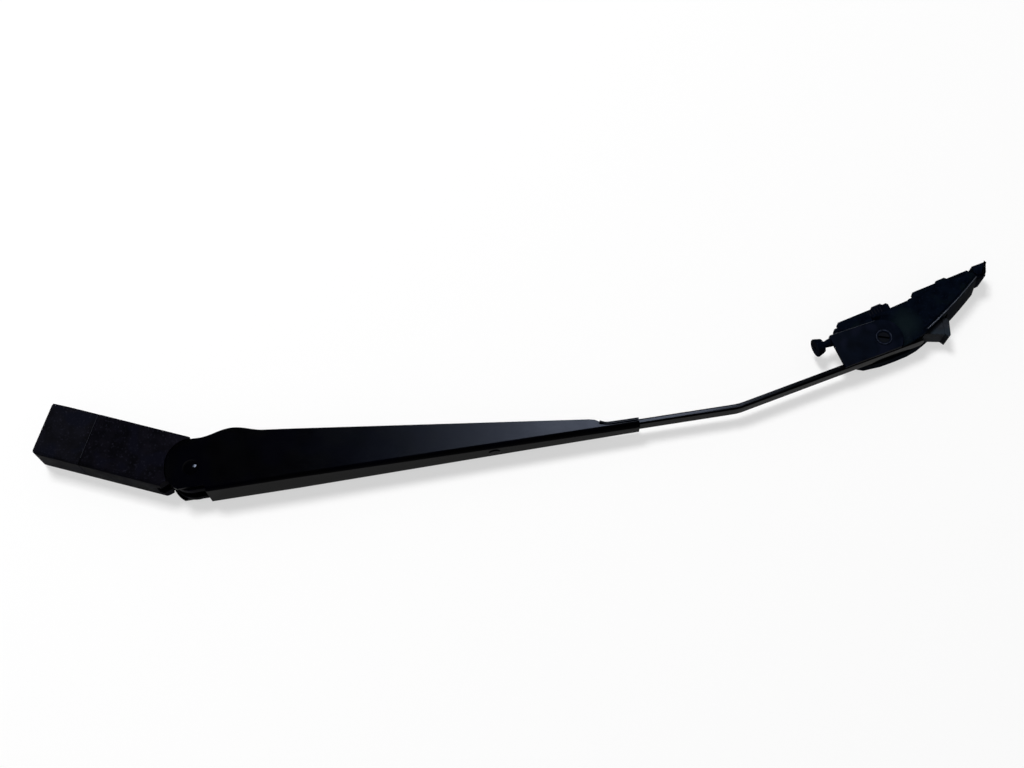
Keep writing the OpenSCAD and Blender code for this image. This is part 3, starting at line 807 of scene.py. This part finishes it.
@dataclass
class Head:
    """Cast head, nut cap and what the hinge needs."""

    edge_mm: float = 0.6
    cap_edge_mm: float = 1.4
    rivet_edge_mm: float = 0.2
    rim_z: float = 0.5
    rear_x: float = -13.6
    round_from_x: float = -11
    flank_y: float = 9.2
    corner: tuple[float, float] = (-11.7, 6.3)
    corner_r: float = 2.49
    rear_share: float = 0.9
    plain_share: float = 0.25
    seam_x: float = 10.7
    seam_y: float = 9.25
    seam_z: tuple[float, ...] = (0.8, 8, 16, 24)
    seam_r: float = 0.17

    def cap_share(self, place: Vector) -> float:
        """Works out the share of the cap's rounding: most at the rear of the rim, none inside the rim.

        Args:
            place: Middle of an edge, in millimetres.

        Returns:
            The share.
        """
        if place.z >= self.rim_z:
            return self.plain_share
        from_corner = math.hypot(place.x - self.corner[0], abs(place.y) - self.corner[1])
        outside = place.x < self.rear_x or abs(place.y) > self.flank_y or from_corner > self.corner_r
        if not outside:
            return 0.0
        return self.rear_share if place.x < self.round_from_x else self.plain_share

    def build(self) -> None:
        """Makes and dresses the head's pieces."""
        dress(softened_copy("head", "head_casting", self.edge_mm), POWDER_COAT, Body.BASE, ["head"])
        hood = softened_copy("nut_cap", "nut_hood", self.cap_edge_mm, 4, share=self.cap_share)
        dress(hood, HOOD_NYLON, Body.CAP, ["nut_cap"])
        self.seam()
        for node in ("bush_near", "bush_far"):
            repaint(node, ACETAL)
        repaint("hook_pin", ZINC_STEEL)
        rivet = softened_copy("hinge_pin", "hinge_rivet", self.rivet_edge_mm, 2)
        dress(rivet, COATED_DOME, Body.ARM, ["hinge_pin"])

    def seam(self) -> None:
        """Lays the fine flash that the mould leaves down both sides of the hood's open edge, painted paler as
        a highlight line.
        """
        for side, name in ((1, "near"), (-1, "far")):
            path = [Vector((self.seam_x, side * self.seam_y, z)) * MM for z in self.seam_z]
            dress(BEAD.lay(f"hood_flash_{name}", path, self.seam_r, FLASH_PAINTED_HIGHLIGHT), FLASH_PAINTED_HIGHLIGHT, Body.CAP)


@dataclass
class Arm:
    """Channel, rod, rivet and side plate."""

    pivot_s: float = 85
    pivot_h: float = -8.2
    plate_y: float = 5.98
    ring_r: float = 3.9
    ring_lift: float = 0.3
    ring_bead_r: float = 0.3
    ring_steps: int = 48
    fold_r: float = 1.25
    fold_path: tuple[tuple[float, float, float], ...] = (
        (203, 4.9, 8.0), (205.5, 4.6, 9.0), (208, 4.55, 9.4), (215, 4.55, 9.45), (222.4, 4.55, 9.45))
    edge_bead_r: float = 0.18
    edge_bead_sink: float = 0.02
    edge_bead_path: tuple[tuple[float, float], ...] = ((60.2, -19.2), (63, -19.05), (85, -18.35))

    def build(self) -> None:
        """Makes and dresses the arm's pieces."""
        dress(softened_copy("channel", "pressed_channel", 0.35, 3, 32), ELECTROCOAT, Body.ARM, ["channel"])
        dress(softened_copy("rod", "flat_rod", 0.2, 2, 40), COATED_BAR, Body.ARM, ["rod"])
        dress(softened_copy("rod_rivet", "channel_rivet", 0.25, 3), ELECTROCOAT, Body.ARM, ["rod_rivet"])
        dress(softened_copy("side_plate", "pivot_plate", 0.3, 3), COATED_PLATE, Body.ARM, ["side_plate"])
        dress(softened_copy("pivot_pin", "pivot_stud", 0.25, 3), BLACK_OXIDE, Body.ARM, ["pivot_pin"])
        self.pivot_ring()
        self.plate_edge()
        self.collar_folds()
        repaint("pivot_washer", ZINC_STEEL)
        repaint("spring", ZINC_STEEL)
        dress(softened_copy("spring_link", "spring_hook", 0.3, 2), ZINC_STEEL, Body.LINK, ["spring_link"])

    def pivot_ring(self) -> None:
        """Lays a bead on the crown of the raised ring round the pivot, painted blue-grey as a highlight."""
        turns = [math.tau * i / self.ring_steps for i in range(self.ring_steps)]
        path = [in_rod(self.pivot_s + self.ring_r * math.cos(a), self.plate_y + self.ring_lift,
                       self.pivot_h + self.ring_r * math.sin(a)) for a in turns]
        ring = BEAD.lay("pivot_ring", path, self.ring_bead_r, RING_PAINTED_HIGHLIGHT, closed=True)
        dress(ring, RING_PAINTED_HIGHLIGHT, Body.ARM)

    def plate_edge(self) -> None:
        """Lays a bead along the side plate's cut edge, from its rear corner to the lobe, painted paler as a
        highlight line.
        """
        path = [in_rod(s, self.plate_y - self.edge_bead_sink, h) for s, h in self.edge_bead_path]
        dress(BEAD.lay("plate_edge_highlight", path, self.edge_bead_r, EDGE_PAINTED_HIGHLIGHT), EDGE_PAINTED_HIGHLIGHT, Body.ARM)

    def collar_folds(self) -> None:
        """Lays the rolled edges with which the channel's end grips the rod."""
        for side, name in ((1, "near"), (-1, "far")):
            path = [in_channel(x, side * y, z) for x, y, z in self.fold_path]
            dress(BEAD.lay(f"collar_fold_{name}", path, self.fold_r, ELECTROCOAT), ELECTROCOAT, Body.ARM)


@dataclass
class Connector:
    """Moulded blade connector with its seat, nipple, nose and lever."""

    flank_y: float = 6.2
    lobe_s: float = 104
    nose_s: float = 147.5
    belly_h: float = -2.2
    belly_slope: float = 15
    belly_curve: float = 4.4
    rim_from: float = 0.1
    rim_step: float = 0.04
    rim_count: int = 23
    rim_inset: float = 0.6
    rim_sink: float = 0.1
    rim_r: float = 0.3
    tip_ends: tuple[tuple[float, float, float], ...] = ((156.2, 5.6, -27), (152.2, 5.6, -21))
    tip_reach: float = 1.2
    tip_plain_share: float = 0.15
    facet_inner: tuple[tuple[float, float], ...] = ((154.4, -27.4), (151.1, -22.1))
    facet_outer: tuple[tuple[float, float], ...] = ((155.9, -26.6), (152.5, -21.2))
    facet_inner_y: float = 5.68
    facet_outer_y: float = 4.08
    facet_t: float = 0.3
    rib_start: tuple[float, float, float] = (86.2, 1.85, -24.2)
    rib_pitch: float = 1.7
    rib_fall: float = 0.1
    rib_count: int = 5
    rib_size: tuple[float, float, float] = (0.7, 0.5, 3.2)

    def build(self) -> None:
        """Makes and dresses the connector's pieces."""
        body = Body.CONNECTOR
        moulding = softened_copy("connector_body", "connector_moulding", 0.45, 3)
        dress(moulding, BODY_NYLON, body, ["connector_body"])
        dress(softened_copy("blade_seat", "claw_rails", 0.3, 2), GLASS_NYLON, body, ["blade_seat"])
        dress(softened_copy("hose_nipple", "hose_barb", 0.3, 3), GLASS_NYLON, body, ["hose_nipple"])
        nose = softened_copy("tip_cap", "nose_clip", 1.6, 1, share=self.nose_share)
        dress(nose, GLASS_NYLON, body, ["tip_cap"])
        self.nose_facet()
        lever = softened_copy("release_lever", "thumb_lever", 0.35, 3)
        dress(lever, LEVER_ACETAL_PAINTED_SHEEN, Body.LEVER, ["release_lever"])
        repaint("lever_pin", ZINC_STEEL)
        self.belly_rim()
        self.claw_ribs()

    def nose_share(self, place: Vector) -> float:
        """Works out the share of the nose's rounding: all of it on the near slanted edge at the tip.

        Args:
            place: Middle of an edge, in millimetres.

        Returns:
            The share.
        """
        tip = sum((in_rod(*end) for end in self.tip_ends), Vector()) / len(self.tip_ends) / MM
        return 1.0 if (place - tip).length < self.tip_reach else self.tip_plain_share

    def nose_facet(self) -> None:
        """Lays a thin skin on the nose's chamfer, painted pale grey as a highlight."""
        skin = [in_rod(s, self.facet_inner_y, h) for s, h in self.facet_inner]
        skin += [in_rod(s, self.facet_outer_y, h) for s, h in reversed(self.facet_outer)]
        drop = in_rod(0, -self.facet_t, 0) - in_rod(0, 0, 0)
        work = bmesh.new()
        upper = [work.verts.new(v) for v in skin]
        lower = [work.verts.new(v + drop) for v in skin]
        work.faces.new(upper)
        work.faces.new(list(reversed(lower)))
        for i in range(len(skin)):
            after = (i + 1) % len(skin)
            work.faces.new([upper[i], lower[i], lower[after], upper[after]])
        bmesh.ops.recalc_face_normals(work, faces=work.faces)
        mesh = bpy.data.meshes.new("nose_facet")
        work.to_mesh(mesh)
        work.free()
        dress(linked("nose_facet", mesh), NYLON_PAINTED_HIGHLIGHT, Body.CONNECTOR)

    def belly(self, t: float) -> tuple[float, float]:
        """Works out a point of the belly's rim.

        Args:
            t: Share of the way from the level back to the nose.

        Returns:
            Its place along the rod and its height, in millimetres.
        """
        height = self.belly_h - self.belly_slope * t - self.belly_curve * t * t
        return self.lobe_s + t * (self.nose_s - self.lobe_s), height - self.rim_inset

    def belly_rim(self) -> None:
        """Lays the parting line along the belly's near edge, painted pale grey as a highlight."""
        shares = [self.rim_from + self.rim_step * i for i in range(self.rim_count)]
        path = [in_rod(s, self.flank_y - self.rim_sink, h) for s, h in map(self.belly, shares)]
        dress(BEAD.lay("belly_rim", path, self.rim_r, NYLON_PAINTED_HIGHLIGHT), NYLON_PAINTED_HIGHLIGHT, Body.CONNECTOR)

    def claw_ribs(self) -> None:
        """Lays the row of grip ribs on the rear claw."""
        s, y, h = self.rib_start
        row = [in_rod(s + self.rib_pitch * i, y, h - self.rib_fall * i) for i in range(self.rib_count)]
        ribs = RIBS.lay("claw_ribs", row, self.rib_size, DROP + ROD_BEND, HOOD_NYLON)
        dress(ribs, HOOD_NYLON, Body.CONNECTOR)


def main() -> None:
    """Builds the scene in order."""
    logging.basicConfig(level=logging.INFO, format="%(name)s: %(message)s")
    camera = Camera()
    camera.build()
    Table().build()
    Studio().build(camera)
    for part in (Head(), Arm(), Connector()):
        part.build()
        LOG.info("%s done", type(part).__name__)
    bpy.context.scene.view_settings.view_transform = "Standard"


if __name__ == "__main__":
    main()
